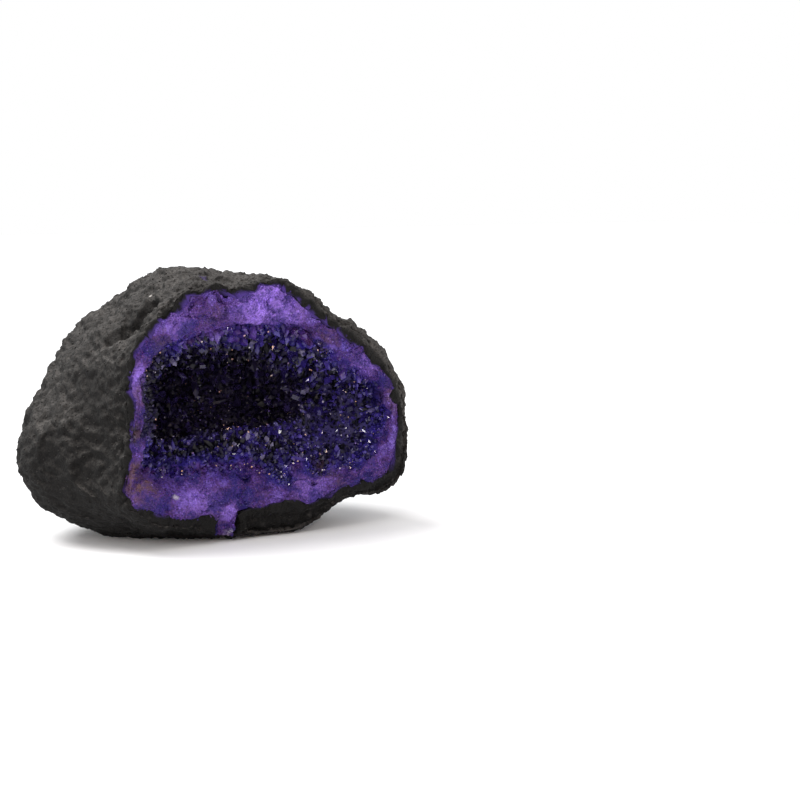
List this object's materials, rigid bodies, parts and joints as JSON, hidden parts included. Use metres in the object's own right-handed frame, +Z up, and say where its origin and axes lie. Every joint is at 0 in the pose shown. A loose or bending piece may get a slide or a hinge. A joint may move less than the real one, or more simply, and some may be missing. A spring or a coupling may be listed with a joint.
{
  "type": "geode half",
  "caption": "Half of a broken geode that stands on its rind: dark lumpy stone outside, dyed purple quartz lining an open hollow.",
  "frame": {"origin": "on the surface that the stone stands on, under the middle of its bounding box", "axes": "+Z up as it stands, the hollow opens towards -Y, and +X is to the right when looking into the hollow"},
  "size_m": [0.0728, 0.0478, 0.0505],
  "materials": {
    "rind_stone": "matte, coarse granular broken stone",
    "dyed_quartz": "dyed quartz, sugary pale band and glossy translucent crystals"
  },
  "bodies": {
    "root": {"rind": "rind_stone", "crystal_crust": "dyed_quartz"}
  },
  "joints": []
}
